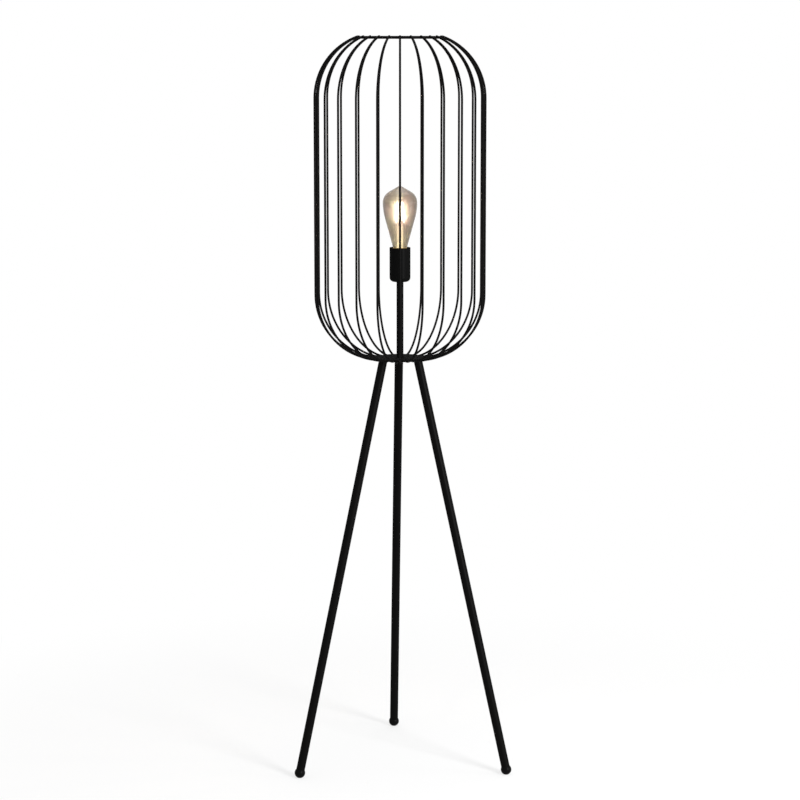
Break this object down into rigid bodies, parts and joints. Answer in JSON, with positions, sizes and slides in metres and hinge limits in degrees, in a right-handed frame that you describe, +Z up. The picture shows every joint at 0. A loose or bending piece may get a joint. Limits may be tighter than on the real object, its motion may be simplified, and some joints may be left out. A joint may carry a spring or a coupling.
{
  "type": "wire cage floor lamp",
  "caption": "Floor lamp: a tall open cage of bent wires on a splayed tripod, with a bare filament bulb in a cylindrical holder on a short stem inside the cage.",
  "frame": {"origin": "on the floor, on the lamp's vertical axis, in the middle of the three feet", "axes": "+Z up, along the stem, the bulb and the cage's axis; +Y towards the back leg; -Y is the side that the picture was taken from, within 3 degrees, with the two front legs at -X and +X"},
  "size_m": [0.408, 0.3938, 1.3762],
  "materials": {
    "powder_coat": "satin black powder coat",
    "holder_paint": "satin black lacquer on drawn steel",
    "foot_nylon": "moulded black nylon",
    "bush_plastic": "moulded black",
    "zinc_steel": "zinc plated",
    "phenolic": "moulded dark brown phenolic",
    "porcelain": "unglazed white steatite",
    "brass": "rolled and stamped",
    "vitrite": "black glass",
    "solder": "soft solder",
    "bulb_glass": "clear, light amber tint",
    "mount_glass": "clear",
    "filament": "phosphor coated",
    "nickel_wire": "drawn wire"
  },
  "bodies": {
    "lamp": {"cage_wire_01": "powder_coat", "cage_wire_02": "powder_coat", "cage_wire_03": "powder_coat", "cage_wire_04": "powder_coat", "cage_wire_05": "powder_coat", "cage_wire_06": "powder_coat", "cage_wire_07": "powder_coat", "cage_wire_08": "powder_coat", "cage_wire_09": "powder_coat", "cage_wire_10": "powder_coat", "cage_wire_11": "powder_coat", "cage_wire_12": "powder_coat", "cage_wire_13": "powder_coat", "cage_wire_14": "powder_coat", "cage_wire_15": "powder_coat", "cage_wire_16": "powder_coat", "cage_wire_17": "powder_coat", "cage_wire_18": "powder_coat", "cage_wire_19": "powder_coat", "cage_wire_20": "powder_coat", "cage_wire_21": "powder_coat", "cage_wire_22": "powder_coat", "cage_wire_23": "powder_coat", "cage_wire_24": "powder_coat", "mouth_ring": "powder_coat", "base_plate": "powder_coat", "leg_tube_back": "powder_coat", "leg_boss_back": "powder_coat", "leg_insert_back": "zinc_steel", "foot_back": "foot_nylon", "leg_tube_left": "powder_coat", "leg_boss_left": "powder_coat", "leg_insert_left": "zinc_steel", "foot_left": "foot_nylon", "leg_tube_right": "powder_coat", "leg_boss_right": "powder_coat", "leg_insert_right": "zinc_steel", "foot_right": "foot_nylon", "leg_studs": "zinc_steel", "stem_tube": "powder_coat", "stem_nipple_lower": "zinc_steel", "stem_washer": "zinc_steel", "stem_nut": "zinc_steel", "inlet_bush": "bush_plastic", "stem_nipple_upper": "zinc_steel", "holder_sleeve": "holder_paint", "holder_cap": "phenolic", "holder_body": "phenolic", "holder_contact_block": "porcelain", "holder_thread_shell": "brass", "holder_centre_contact": "brass", "holder_terminals": "brass", "holder_terminal_screws": "zinc_steel"},
    "bulb": {"bulb_glass": "bulb_glass", "bulb_screw_cap": "brass", "bulb_insulator": "vitrite", "bulb_tip_contact": "solder", "bulb_mount": "mount_glass", "bulb_filaments": "filament", "bulb_lead_wires": "nickel_wire"}
  },
  "joints": [
    {"name": "bulb_unscrew", "type": "slide", "parent": "lamp", "child": "bulb", "axis": [0, 0, 1], "range_m": [0, 0.027]}
  ]
}
